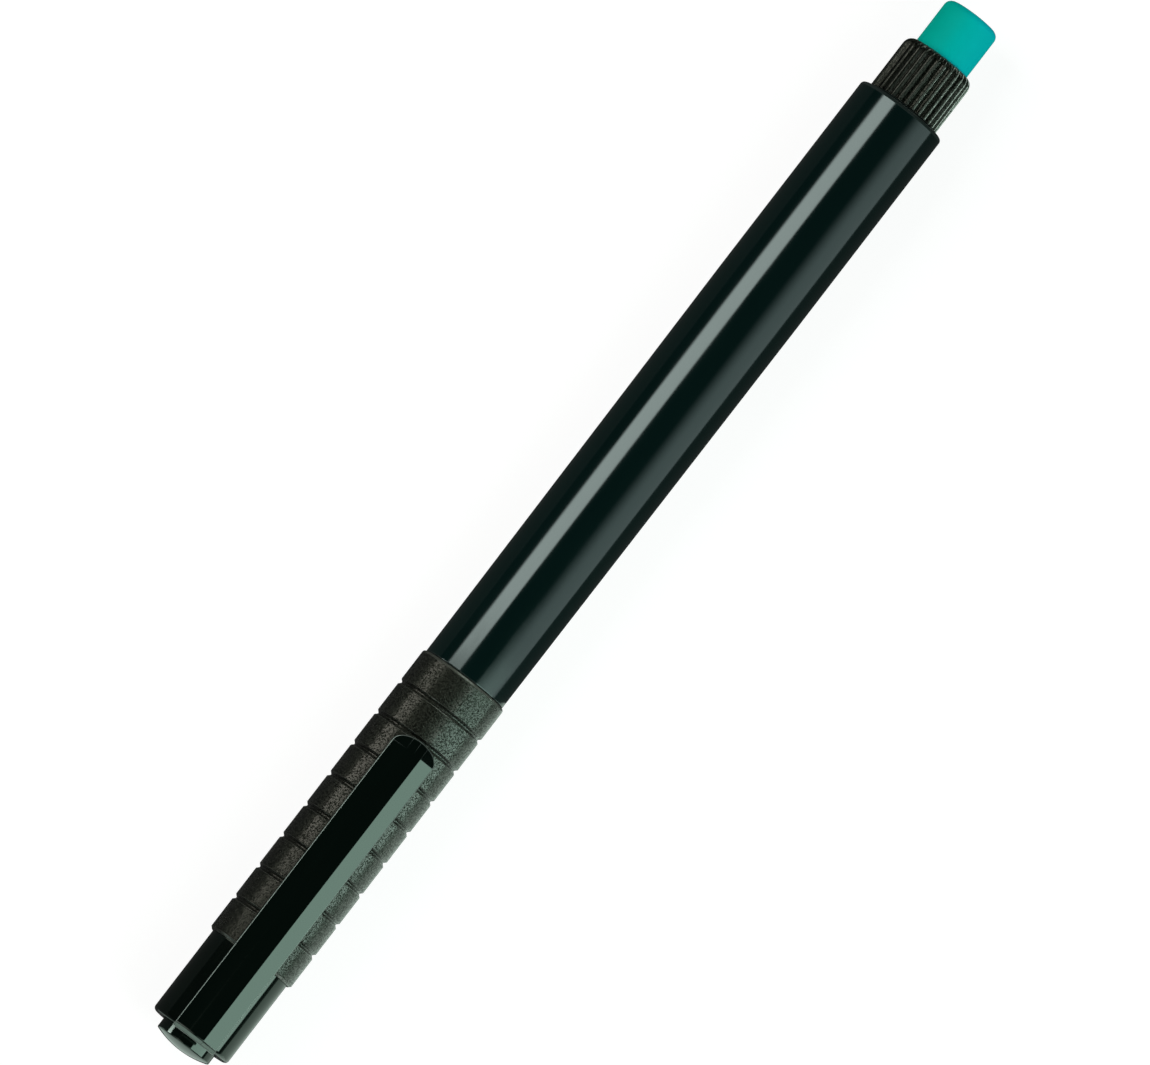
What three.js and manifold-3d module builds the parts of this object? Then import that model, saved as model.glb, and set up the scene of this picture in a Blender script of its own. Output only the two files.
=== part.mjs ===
// Pattern transfer pen: a capped fibre-tip pen with an eraser end, lying on its side with the clip up.
// Millimetres. X runs along the pen from the cap's domed end to the eraser, and Z is up.
// The origin is under the middle of the pen, on the surface that it lies on.

import * as THREE from 'three';
import { mergeVertices } from 'three/addons/utils/BufferGeometryUtils.js';
import Module from 'manifold-3d';

const wasm = await Module();
wasm.setup();

// Clearances
const slipGap = 0.2;          // round a piece that is pushed into another
const lipGap = 0.15;          // between the cap's lip and the barrel's shoulder
const nubGap = 0.3;           // under the clip's nub
const eraserGap = 0.1;        // round the eraser in its holder
const seatGap = 0.3;          // between the reservoir and what holds it at each end

// End plug of the cap
const plugRadius = 3.52;
const plugDome = 0.62;        // how far the middle of its end stands proud of the edge
const plugStandOut = 1.24;    // straight side that shows between the dome and the collar
const plugDepth = 7;          // how far it goes into the collar
const plugHead = 1.6;         // thickness of its closed end at the edge of the dome
const plugWall = 0.8;

// Collar that carries the clip
const collarRadius = 5.11;
const collarLength = 10.95;
const collarCorner = 0.5;     // round at its outer end
const plugLedge = 0.7;        // width of the ledge that the plug stops against
const spigotLength = 5;       // how far the collar reaches into the cap shell

// Cap shell with its grip bands
const bandRadius = 5.57;
const bandPitch = 4.3;
const bandCount = 9;
const endBandExtra = 0.12;    // how much wider the first and last bands are
const grooveDepth = 0.28;     // its walls slope at 45 degrees
const grooveFloor = 0.14;
const capWall = 0.85;
const lipCorner = 0.5;        // round at the cap's lip

// Cup inside the cap
const innerCapWall = 0.7;
const innerCapFloor = 0.8;
const innerCapReach = 4.4;    // how far it covers the sealing stage of the nib holder

// Clip
const clipHalfWidth = 2.86;
const clipLength = 41.4;
const clipOverhang = 0.4;     // how far it stands out past the collar's end
const clipGap = 0.9;          // between the clip's flat underside and the grip bands
const clipSide = 0.6;         // height of its upright sides
const clipEdge = 0.16;        // small bevel along the top of the sides
const clipRidgeHalf = 1.05;   // half the width of the two shallow facets along the middle
const clipRidgeSlope = 5;     // degrees
const clipFacetSlope = 23;    // degrees, of the wide facet at each side
const clipEndBevel = 0.5;     // at the end over the collar
const noseLength = 1.6;       // the rounded nose, over which the top slopes down
const noseDrop = 0.5;
const footHalfWidth = 2.3;
const footLength = 10.6;
const nubWidth = 2.8;
const nubChord = 3.6;
const nubInset = 4.2;         // from the tip of the nose to the middle of the nub

// Barrel
const barrelFrontRadius = 5.28;
const barrelRearRadius = 5.51;
const taperLength = 53.8;     // from the shoulder to where the barrel is straight
const barrelLength = 79.87;
const barrelWall = 1.12;
const barrelCorner = 0.6;     // round at the rear end
const rimRadius = 4.62;       // of the flat rim that the eraser holder stands on
const rimRise = 0.16;         // how far that rim stands out past the round corner
const shoulderWall = 1.2;     // web between the wide bore and the neck
const neckLength = 13;        // part of the barrel inside the cap
const neckGap = 0.3;          // round the neck in the cap's bore
const neckWall = 0.85;
const neckChamfer = 0.35;
const beadHeight = 0.12;      // ring on the neck that grips the cap
const beadHalfWidth = 0.5;
const beadAt = 5;             // from the shoulder

// Nib holder and nib
const flangeLength = 0.9;
const flangeInset = 0.5;      // flange radius below the neck's
const sealRadius = 3;
const sealLength = 5.5;
const coneLength = 4.6;
const tipWall = 0.55;         // round the nib where it leaves the holder
const tipLength = 1.4;
const holderTail = 8;         // how far it reaches into the neck
const holderTailWall = 0.8;
const nibRadius = 0.95;
const nibReach = 2.9;         // how far it stands out
const nibTaper = 1.7;
const nibPoint = 0.32;        // radius of the rounded point
const nibSocket = 4;          // depth of the hole for the nib's tail in the reservoir

// Ink reservoir and its film wrap
const wrapGap = 0.25;
const wrapFilm = 0.15;
const fibreGap = 0.15;

// Eraser holder and eraser
const holderRadius = 4.53;    // over the crests of the flutes
const holderLength = 7;
const fluteCount = 30;
const fluteDepth = 0.28;
const holderLip = 0.06;       // flat rim left round the eraser
const plugTail = 7;           // how far the holder reaches into the barrel
const plugTailWall = 0.8;
const pocketFloor = 1.2;
const eraserRadius = 3.49;
const eraserShow = 6.33;
const eraserCorner = 0.85;
const eraserBase = 0.3;       // bevel at its hidden end

// Faces round each turned piece
const outerFaces = 48;
const innerFaces = 32;
const slimFaces = 20;
const facesPerFlute = 6;
const cornerSteps = 4;
const noseSteps = 16;

// Radii that follow from the sizes above
const capBore = bandRadius - capWall;
const spigotRadius = capBore - slipGap;
const plugBore = plugRadius + slipGap;
const ledgeBore = plugBore - plugLedge;
const innerCapBore = sealRadius + slipGap;
const innerCapRadius = innerCapBore + innerCapWall;
const neckRadius = capBore - neckGap;
const neckBore = neckRadius - neckWall;
const barrelBore = barrelFrontRadius - barrelWall;
const nibBore = nibRadius + slipGap;
const tipRadius = nibBore + tipWall;
const tailRadius = neckBore - slipGap;
const wrapRadius = barrelBore - wrapGap;
const wrapBore = wrapRadius - wrapFilm;
const fibreRadius = wrapBore - fibreGap;
const plugTailRadius = barrelBore - slipGap;
const pocketRadius = eraserRadius + eraserGap;
const landHeight = Math.sqrt(collarRadius ** 2 - footHalfWidth ** 2);
const undersideHeight = bandRadius + clipGap;

// Places along the pen, from the tip of the dome
const collarStart = plugDome + plugStandOut;
const shellStart = collarStart + collarLength;
const shellLength = bandCount * bandPitch + 2 * endBandExtra;
const shoulderAt = shellStart + shellLength + lipGap;
const neckEnd = shoulderAt - neckLength;
const sealEnd = neckEnd - flangeLength;
const tipEnd = sealEnd - sealLength - coneLength - tipLength;
const nibTip = tipEnd - nibReach;
const reservoirStart = shoulderAt + shoulderWall + seatGap;
const barrelEnd = shoulderAt + barrelLength;
const reservoirEnd = barrelEnd - plugTail - seatGap;
const innerCapStart = shellStart + spigotLength;
const innerCapEnd = sealEnd - sealLength + innerCapReach;
const eraserStart = barrelEnd + pocketFloor;
const penLength = barrelEnd + holderLength + eraserShow;
const restHeight = bandRadius * Math.cos(Math.PI / outerFaces);

const degrees = Math.PI / 180;

// Points of a quarter or other arc in an outline of [x, radius] pairs, with angles from the X axis
function arc(x, radius, size, from, to) {
  const points = [];
  for (let step = 0; step <= cornerSteps; step += 1) {
    const angle = (from + (to - from) * step / cornerSteps) * degrees;
    points.push([x + size * Math.cos(angle), radius + size * Math.sin(angle)]);
  }
  return points;
}

// A shape with its doubled vertices joined and its empty triangles left out
function welded(geometry) {
  const bare = geometry.clone();
  bare.deleteAttribute('normal');
  bare.deleteAttribute('uv');
  const joined = mergeVertices(bare, 1e-4);
  const from = joined.index.array;
  const kept = [];
  for (let i = 0; i < from.length; i += 3) {
    const [a, b, c] = [from[i], from[i + 1], from[i + 2]];
    if (a !== b && b !== c && c !== a) kept.push(a, b, c);
  }
  joined.setIndex(kept);
  return joined;
}

function solidOf(geometry) {
  const joined = welded(geometry);
  return new wasm.Manifold(new wasm.Mesh({
    numProp: 3,
    vertProperties: new Float32Array(joined.attributes.position.array),
    triVerts: new Uint32Array(joined.index.array),
  }));
}

function geometryOf(solid) {
  const mesh = solid.getMesh();
  const geometry = new THREE.BufferGeometry();
  geometry.setAttribute('position', new THREE.BufferAttribute(mesh.vertProperties, 3));
  geometry.setIndex(new THREE.BufferAttribute(mesh.triVerts, 1));
  geometry.computeVertexNormals();
  return geometry;
}

// Revolves an outline of [x, radius] pairs about the X axis, with one face level at the bottom.
// The outline runs along the outside towards +X and comes back along the bore or the axis.
function turned(outline, faces) {
  const points = outline.map(([x, radius]) => new THREE.Vector2(radius, x));
  const geometry = new THREE.LatheGeometry(points, faces, Math.PI / faces);
  geometry.rotateZ(-Math.PI / 2);
  return welded(geometry);
}

// A ring or tube: the outline is closed on itself
function turnedTube(outline, faces) {
  return turned([...outline, outline[0]], faces);
}

// Extrudes a side outline of [x, z] points to both sides of the middle plane
function sidePlate(outline, width) {
  const shape = new THREE.Shape(outline.map(([x, z]) => new THREE.Vector2(x, z)));
  const geometry = new THREE.ExtrudeGeometry(shape, { depth: width, bevelEnabled: false });
  geometry.rotateX(Math.PI / 2);
  geometry.translate(0, width / 2, 0);
  return geometry;
}

// Joins stations, each a ring of points [x, y, z] in the same order, into one closed body
function lofted(stations) {
  const count = stations[0].length;
  const positions = stations.flat(2);
  const index = [];
  for (let s = 0; s + 1 < stations.length; s += 1) {
    for (let k = 0; k < count; k += 1) {
      const a = s * count + k;
      const b = s * count + (k + 1) % count;
      index.push(a, b, b + count, a, b + count, a + count);
    }
  }
  const last = (stations.length - 1) * count;
  for (let k = 1; k + 1 < count; k += 1) {
    index.push(0, k + 1, k);
    index.push(last, last + k, last + k + 1);
  }
  const geometry = new THREE.BufferGeometry();
  geometry.setAttribute('position', new THREE.Float32BufferAttribute(positions, 3));
  geometry.setIndex(index);
  return geometry;
}

// Domed plug, hollow behind its head
function endPlugShape() {
  const domeRadius = (plugRadius ** 2 + plugDome ** 2) / (2 * plugDome);
  const domeAngle = Math.asin(plugRadius / domeRadius) / degrees;
  const skirtEnd = collarStart + plugDepth;
  const skirtBore = plugRadius - plugWall;
  return turned([
    ...arc(domeRadius, 0, domeRadius, 180, 180 - domeAngle),
    [skirtEnd, plugRadius],
    [skirtEnd, skirtBore],
    [plugDome + plugHead, skirtBore],
    [plugDome + plugHead, 0],
  ], outerFaces);
}

// Collar with a spigot for the cap shell, a bore for the plug and a flat land for the clip's foot
function clipCollarShape() {
  const body = turnedTube([
    [0, plugBore],
    ...arc(collarCorner, collarRadius - collarCorner, collarCorner, 180, 90),
    [collarLength, collarRadius],
    [collarLength, spigotRadius],
    [collarLength + spigotLength, spigotRadius],
    [collarLength + spigotLength, ledgeBore],
    [plugDepth, ledgeBore],
    [plugDepth, plugBore],
  ], outerFaces);
  const above = sidePlate([
    [-1, landHeight],
    [collarLength, landHeight],
    [collarLength, collarRadius + 1],
    [-1, collarRadius + 1],
  ], 2 * collarRadius);
  return geometryOf(solidOf(body).subtract(solidOf(above)));
}

// Cap tube with its grip bands, parted by V grooves
function capShellShape() {
  const outline = [
    [0, bandRadius - grooveDepth],
    [grooveDepth, bandRadius],
  ];
  for (let band = 1; band < bandCount; band += 1) {
    const middle = band * bandPitch + endBandExtra;
    outline.push([middle - grooveFloor / 2 - grooveDepth, bandRadius]);
    outline.push([middle - grooveFloor / 2, bandRadius - grooveDepth]);
    outline.push([middle + grooveFloor / 2, bandRadius - grooveDepth]);
    outline.push([middle + grooveFloor / 2 + grooveDepth, bandRadius]);
  }
  outline.push(...arc(shellLength - lipCorner, bandRadius - lipCorner, lipCorner, 90, 0));
  outline.push([shellLength, capBore]);
  outline.push([0, capBore]);
  return turnedTube(outline, outerFaces);
}

// Cup that seals round the nib holder, with a flange against the collar's spigot
function innerCapShape() {
  const length = innerCapEnd - innerCapStart;
  return turned([
    [0, 0],
    [0, spigotRadius],
    [innerCapFloor, spigotRadius],
    [innerCapFloor, innerCapRadius],
    [length, innerCapRadius],
    [length, innerCapBore],
    [innerCapFloor, innerCapBore],
    [innerCapFloor, 0],
  ], innerFaces);
}

// Cross-section of the clip at one place, as points [x, y, z], with its top lowered by drop
function clipSection(x, drop) {
  const edge = undersideHeight + clipSide - drop;
  const facet = edge + clipEdge;
  const rise = (clipHalfWidth - clipEdge - clipRidgeHalf) * Math.tan(clipFacetSlope * degrees);
  const ridge = facet + rise;
  const top = ridge + clipRidgeHalf * Math.tan(clipRidgeSlope * degrees);
  return [
    [x, -clipHalfWidth, undersideHeight],
    [x, clipHalfWidth, undersideHeight],
    [x, clipHalfWidth, edge],
    [x, clipHalfWidth - clipEdge, facet],
    [x, clipRidgeHalf, ridge],
    [x, 0, top],
    [x, -clipRidgeHalf, ridge],
    [x, -clipHalfWidth + clipEdge, facet],
    [x, -clipHalfWidth, edge],
  ];
}

// Plan of the clip: straight sides and an elliptical nose
function clipPlan() {
  const straight = clipLength - noseLength;
  const shape = new THREE.Shape();
  shape.moveTo(0, -clipHalfWidth);
  for (let step = 0; step <= noseSteps; step += 1) {
    const angle = (step / noseSteps - 0.5) * Math.PI;
    shape.lineTo(straight + noseLength * Math.cos(angle), clipHalfWidth * Math.sin(angle));
  }
  shape.lineTo(0, clipHalfWidth);
  const depth = bandRadius + undersideHeight;
  return new THREE.ExtrudeGeometry(shape, { depth, bevelEnabled: false });
}

// Clip arm with its foot on the collar and a rounded nub under the nose
function clipShape() {
  const straight = clipLength - noseLength;
  const arm = solidOf(lofted([
    clipSection(0, clipEndBevel),
    clipSection(clipEndBevel, 0),
    clipSection(straight, 0),
    clipSection(clipLength, noseDrop),
  ])).intersect(solidOf(clipPlan()));
  const foot = sidePlate([
    [clipOverhang, landHeight],
    [clipOverhang + footLength, landHeight],
    [clipOverhang + footLength, undersideHeight + clipSide / 2],
    [clipOverhang, undersideHeight + clipSide / 2],
  ], 2 * footHalfWidth);
  const nubDepth = clipGap - nubGap;
  const nubArc = (nubChord ** 2 / 4 + nubDepth ** 2) / (2 * nubDepth);
  const halfAngle = Math.asin(nubChord / 2 / nubArc) / degrees;
  const nubMiddle = clipLength - nubInset;
  const nubOutline = arc(nubMiddle, bandRadius + nubGap + nubArc, nubArc, 270 - halfAngle, 270 + halfAngle);
  nubOutline.push([nubMiddle + nubChord / 2, undersideHeight + clipSide / 2]);
  nubOutline.push([nubMiddle - nubChord / 2, undersideHeight + clipSide / 2]);
  const nub = sidePlate(nubOutline, nubWidth);
  return geometryOf(arm.add(solidOf(foot)).add(solidOf(nub)));
}

// Barrel tube with its neck in front and a rim for the eraser holder at the rear
function barrelShape() {
  const cornerEnd = barrelLength - rimRise;
  return turnedTube([
    [-neckLength, neckBore],
    [-neckLength, neckRadius - neckChamfer],
    [-neckLength + neckChamfer, neckRadius],
    [-beadAt - beadHalfWidth, neckRadius],
    [-beadAt, neckRadius + beadHeight],
    [-beadAt + beadHalfWidth, neckRadius],
    [0, neckRadius],
    [0, barrelFrontRadius],
    [taperLength, barrelRearRadius],
    ...arc(cornerEnd - barrelCorner, barrelRearRadius - barrelCorner, barrelCorner, 90, 0),
    [barrelLength, rimRadius],
    [barrelLength, barrelBore],
    [shoulderWall, barrelBore],
    [shoulderWall, neckBore],
  ], outerFaces);
}

// Stepped front section, from its narrow tip to its hollow tail
function nibHolderShape() {
  const coneEnd = tipLength + coneLength;
  const sealTop = coneEnd + sealLength;
  const flangeEnd = sealTop + flangeLength;
  const flangeRadius = neckRadius - flangeInset;
  return turnedTube([
    [0, nibBore],
    [0, tipRadius],
    [tipLength, tipRadius],
    [coneEnd, sealRadius],
    [sealTop, sealRadius],
    [sealTop, flangeRadius],
    [flangeEnd, flangeRadius],
    [flangeEnd, tailRadius],
    [flangeEnd + holderTail, tailRadius],
    [flangeEnd + holderTail, tailRadius - holderTailWall],
    [flangeEnd, tailRadius - holderTailWall],
    [flangeEnd, nibBore],
  ], innerFaces);
}

// Fibre point with a long tail
function nibShape() {
  const tailEnd = reservoirStart + nibSocket - seatGap - nibTip;
  return turned([
    ...arc(nibPoint, 0, nibPoint, 180, 110),
    [nibTaper, nibRadius],
    [tailEnd, nibRadius],
    [tailEnd, 0],
  ], slimFaces);
}

// Fibre rod with a hole for the nib's tail
function inkReservoirShape() {
  const length = reservoirEnd - reservoirStart;
  return turned([
    [nibSocket, 0],
    [nibSocket, nibBore],
    [0, nibBore],
    [0, fibreRadius],
    [length, fibreRadius],
    [length, 0],
  ], innerFaces);
}

// Film sleeve round the fibre rod
function reservoirWrapShape() {
  const length = reservoirEnd - reservoirStart;
  return turnedTube([
    [0, wrapBore],
    [0, wrapRadius],
    [length, wrapRadius],
    [length, wrapBore],
  ], innerFaces);
}

// One ring of the fluted grip, as points [x, y, z]. It stands out from the flat rim round the
// eraser by its full height where rise is 1, and not at all where rise is 0.
function fluteRing(x, rise) {
  const count = fluteCount * facesPerFlute;
  const rim = pocketRadius + holderLip;
  const ring = [];
  for (let k = 0; k < count; k += 1) {
    const turn = 2 * Math.PI * k / count;
    const depth = fluteDepth * (0.5 - 0.5 * Math.cos(fluteCount * turn));
    const radius = rim + (holderRadius - depth - rim) * rise;
    ring.push([x, radius * Math.cos(turn), radius * Math.sin(turn)]);
  }
  return ring;
}

// Fluted grip with a rounded shoulder, a pocket for the eraser and a tail for the barrel
function eraserHolderShape() {
  const shoulder = holderRadius - pocketRadius - holderLip;
  const rings = [fluteRing(0, 1)];
  for (let step = 0; step <= cornerSteps; step += 1) {
    const angle = step / cornerSteps * Math.PI / 2;
    rings.push(fluteRing(holderLength - shoulder * (1 - Math.sin(angle)), Math.cos(angle)));
  }
  const grip = lofted(rings);
  const pocket = turned([
    [pocketFloor, 0],
    [pocketFloor, pocketRadius],
    [holderLength + 1, pocketRadius],
    [holderLength + 1, 0],
  ], outerFaces);
  const tail = turnedTube([
    [-plugTail, plugTailRadius - plugTailWall],
    [-plugTail, plugTailRadius],
    [pocketFloor / 2, plugTailRadius],
    [pocketFloor / 2, plugTailRadius - plugTailWall],
  ], outerFaces);
  return geometryOf(solidOf(grip).subtract(solidOf(pocket)).add(solidOf(tail)));
}

// Eraser rod with a rounded working end
function eraserShape() {
  const length = holderLength - pocketFloor + eraserShow;
  return turned([
    [0, 0],
    [0, eraserRadius - eraserBase],
    [eraserBase, eraserRadius],
    ...arc(length - eraserCorner, eraserRadius - eraserCorner, eraserCorner, 90, 0),
    [length, 0],
  ], outerFaces);
}

function finish(colour, roughness, metalness = 0) {
  return new THREE.MeshStandardMaterial({ color: colour, roughness, metalness });
}

const glossBlack = finish(0x030f0e, 0.12);
const mattGrip = finish(0x30312b, 0.62);
const glossCap = finish(0x070d0b, 0.18);
const mattRing = finish(0x2c302b, 0.6);
const teal = finish(0x00a08c, 0.55);
const sealWhite = finish(0xd8d8d2, 0.5);
const holderGrey = finish(0x23262a, 0.45);
const fibreInk = finish(0x2a4f9a, 0.9);
const fibreWhite = finish(0xdcd8cc, 0.95);
const film = finish(0xe8e8e8, 0.3);

function piece(name, geometry, material, x) {
  const mesh = new THREE.Mesh(geometry, material);
  mesh.name = name;
  mesh.position.x = x;
  return mesh;
}

const cap = new THREE.Group();
cap.add(piece('end_plug', endPlugShape(), glossCap, 0));
cap.add(piece('clip_collar', clipCollarShape(), glossCap, collarStart));
cap.add(piece('clip', clipShape(), glossCap, collarStart - clipOverhang));
cap.add(piece('cap_shell', capShellShape(), mattGrip, shellStart));
cap.add(piece('inner_cap', innerCapShape(), sealWhite, innerCapStart));

const body = new THREE.Group();
body.add(piece('barrel', barrelShape(), glossBlack, shoulderAt));
body.add(piece('nib_holder', nibHolderShape(), holderGrey, tipEnd));
body.add(piece('nib', nibShape(), fibreInk, nibTip));
body.add(piece('ink_reservoir', inkReservoirShape(), fibreWhite, reservoirStart));
body.add(piece('reservoir_wrap', reservoirWrapShape(), film, reservoirStart));

const rear = new THREE.Group();
rear.add(piece('eraser_holder', eraserHolderShape(), mattRing, barrelEnd));
rear.add(piece('eraser', eraserShape(), teal, eraserStart));

const pen = new THREE.Group();
pen.add(cap, body, rear);
pen.position.set(-penLength / 2, 0, restHeight);

export default pen;
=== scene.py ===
# %% [markdown]
# ## A pattern transfer pen, photographed from above
# The pen lies on a pale table with its cap on and its clip up. Its solids, joints and sizes
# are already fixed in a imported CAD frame. This lesson makes what the camera sees: smooth
# skins with rounded edges, procedural plastics and rubber, a table and soft studio light.
# The frame is loaded first, because every piece takes its place from it.

# %% Load the frame
import math

import bmesh
import bpy
from mathutils import Matrix, Vector


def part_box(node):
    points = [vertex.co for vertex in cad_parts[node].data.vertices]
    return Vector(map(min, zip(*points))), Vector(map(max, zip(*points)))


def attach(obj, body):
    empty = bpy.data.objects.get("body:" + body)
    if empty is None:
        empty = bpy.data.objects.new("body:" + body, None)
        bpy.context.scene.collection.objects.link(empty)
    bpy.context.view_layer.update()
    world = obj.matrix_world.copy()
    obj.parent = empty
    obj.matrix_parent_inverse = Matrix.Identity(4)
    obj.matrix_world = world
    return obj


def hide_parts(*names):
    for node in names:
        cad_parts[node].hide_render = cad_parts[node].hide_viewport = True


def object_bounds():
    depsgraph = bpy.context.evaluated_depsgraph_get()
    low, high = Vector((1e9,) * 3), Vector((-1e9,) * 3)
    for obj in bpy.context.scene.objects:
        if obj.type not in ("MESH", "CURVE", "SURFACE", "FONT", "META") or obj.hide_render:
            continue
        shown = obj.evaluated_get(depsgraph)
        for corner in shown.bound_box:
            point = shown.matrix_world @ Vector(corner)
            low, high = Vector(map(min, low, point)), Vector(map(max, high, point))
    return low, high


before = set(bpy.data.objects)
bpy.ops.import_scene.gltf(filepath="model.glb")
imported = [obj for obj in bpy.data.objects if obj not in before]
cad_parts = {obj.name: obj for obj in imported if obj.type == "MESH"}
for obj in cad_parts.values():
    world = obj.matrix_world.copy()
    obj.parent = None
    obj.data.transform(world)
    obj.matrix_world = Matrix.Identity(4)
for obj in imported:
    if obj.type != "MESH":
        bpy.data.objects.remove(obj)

cad_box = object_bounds()
print("CAD nodes:", ", ".join(sorted(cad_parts)))

# %% [markdown]
# ### Working in millimetres
# Blender counts in metres, but an edge on this pen is a tenth of a millimetre round, and
# Boolean, Bevel and Merge have tolerances made for bigger things. So every skin is modelled
# in millimetres, with x = 0 at the tip of the domed end, and only the finished mesh moves
# into the frame. What the frame can't tell is the maker's dimensions.

# %% Sizes
PER_METRE = 1000.0
CAD_FACES = 48
pen_start = cad_box[0].x * PER_METRE
cap_low, cap_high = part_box("cap_shell")
axis_height = (cap_low.z + cap_high.z) / 2 * PER_METRE


def start_of(node):
    """Where a node begins along the pen, in millimetres from the domed end."""
    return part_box(node)[0].x * PER_METRE - pen_start


def end_of(node):
    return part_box(node)[1].x * PER_METRE - pen_start


def radius_of(node):
    """The true radius of a turned node, whose faces lie a little inside it."""
    low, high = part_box(node)
    return (high.y - low.y) / 2 * PER_METRE / math.cos(math.pi / CAD_FACES)


SLIP_GAP = 0.2
CAP_WALL = 0.85
# How far the barrel's rear edge lies behind the solid's, as in the photo
REAR_REACH = 0.28
band_radius = radius_of("cap_shell")
collar_radius = radius_of("clip_collar")
plug_radius = radius_of("end_plug")
eraser_radius = radius_of("eraser")
barrel_rear_radius = radius_of("barrel")
shell_start = start_of("cap_shell")
shell_end = end_of("cap_shell")
collar_start = start_of("clip_collar")
barrel_end = end_of("barrel") + REAR_REACH
cap_bore = band_radius - CAP_WALL
print(f"pen {end_of('eraser'):.1f} mm long, cap {2 * band_radius:.2f} mm thick")

# %% [markdown]
# ### The camera
# The photo looks almost straight down on the pen. The rings bow a little towards the
# eraser, so the domed end is tipped towards the lens, and the clip sits a little off the
# centre line, so the lens is also a little to one side. A long lens far away keeps the
# sides parallel.

# %% Camera
PHOTO_WIDTH = 1150
PHOTO_HEIGHT = 1065
PHOTO_PIXELS_PER_MM = 9.016
TIP_ALONG = math.radians(5.0)
TIP_ACROSS = math.radians(4.2)
TURN_IN_PICTURE = math.radians(52.43)
PEN_MIDDLE_PIXEL = (577.9, 531.7)
LENS_DISTANCE = 1.9
SENSOR = 36.0

to_lens = Vector((-math.tan(TIP_ALONG), math.tan(TIP_ACROSS), 1.0)).normalized()
pen_way = Vector((1, 0, 0))
pen_way = (pen_way - to_lens * pen_way.dot(to_lens)).normalized()
across = to_lens.cross(pen_way)
picture_right = pen_way * math.cos(TURN_IN_PICTURE) - across * math.sin(TURN_IN_PICTURE)
picture_up = pen_way * math.sin(TURN_IN_PICTURE) + across * math.cos(TURN_IN_PICTURE)

pen_middle = Vector(((cad_box[0].x + cad_box[1].x) / 2, 0, axis_height / PER_METRE))
metres_per_pixel = 1 / PHOTO_PIXELS_PER_MM / PER_METRE
aim = pen_middle
aim = aim - picture_right * (PEN_MIDDLE_PIXEL[0] - PHOTO_WIDTH / 2) * metres_per_pixel
aim = aim + picture_up * (PEN_MIDDLE_PIXEL[1] - PHOTO_HEIGHT / 2) * metres_per_pixel


def object_of(name, data):
    """A new object of the scene."""
    made = bpy.data.objects.new(name, data)
    bpy.context.scene.collection.objects.link(made)
    return made


camera_data = bpy.data.cameras.new("photo_camera")
camera_data.sensor_width = SENSOR
camera_data.lens = SENSOR * LENS_DISTANCE / (PHOTO_WIDTH * metres_per_pixel)
camera_data.clip_end = 20
camera = object_of("photo_camera", camera_data)
turned_axes = Matrix((picture_right, picture_up, to_lens)).transposed().to_4x4()
camera.matrix_world = Matrix.Translation(aim + to_lens * LENS_DISTANCE) @ turned_axes
bpy.context.scene.camera = camera
print(f"lens {camera_data.lens:.0f} mm at {LENS_DISTANCE} m")

# %% [markdown]
# ### Sums with sockets
# A shader or a geometry tree is full of small sums. Wired by hand, each is a Math node with
# three links. This small class wraps a socket so that Python's own operators add those
# nodes, and one method, node(), makes any other kind: it sets the settings first, because
# they decide which sockets there are, and then feeds them. It gives one output, or a list.

# %% Node helper
def operator(operation, swapped=False):
    """A method that adds the Math node of an operation."""

    def method(wire, other):
        return wire.sum(operation, *((other, wire) if swapped else (wire, other)))

    return method


class Wire:
    """A socket that can be used in sums."""

    def __init__(self, net, socket):
        self.net = net
        self.socket = socket

    def sum(self, operation, *terms):
        return self.net.node("ShaderNodeMath", {"operation": operation}, dict(enumerate(terms)))

    def clamped(self):
        return self.at_least(0.0).at_most(1.0)

    __add__ = __radd__ = operator("ADD")
    __mul__ = __rmul__ = operator("MULTIPLY")
    __sub__ = operator("SUBTRACT")
    __rsub__ = operator("SUBTRACT", swapped=True)
    __truediv__ = operator("DIVIDE")
    __rtruediv__ = operator("DIVIDE", swapped=True)
    __pow__ = operator("POWER")
    __gt__ = operator("GREATER_THAN")
    at_least = operator("MAXIMUM")
    at_most = operator("MINIMUM")


class Net:
    """A node tree that is being wired."""

    def __init__(self, tree):
        self.tree = tree

    def node(self, kind, settings=None, feeds=None, output=0):
        made = self.tree.nodes.new(kind)
        for name, value in (settings or {}).items():
            setattr(made, name, value)
        for name, value in (feeds or {}).items():
            self.feed(made.inputs[name], value)
        if isinstance(output, (list, range)):
            return [Wire(self, made.outputs[key]) for key in output]
        return Wire(self, made.outputs[output])

    def feed(self, socket, value):
        if isinstance(value, Wire):
            self.tree.links.new(value.socket, socket)
        else:
            socket.default_value = value


print("node helper ready")

# %% [markdown]
# ### Turned skins
# Nearly everything on a pen is turned about one axis, so one function takes the outline of a
# piece as corners (x, radius, rounding), rounds each with an arc, and spins it. The Screw
# modifier could spin it too, but mesh code keeps the poles closed and gives each corner its
# own rounding. A support point beside each arc lets the long flat faces keep their shading.

# %% Outlines and turning
SKIN_FACES = 192
ARC_STEPS = 5
SUPPORT = 0.05
SHARP_ANGLE = math.radians(25)
EDGE_MARK_TURN = 8
TINY = 1e-5


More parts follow.
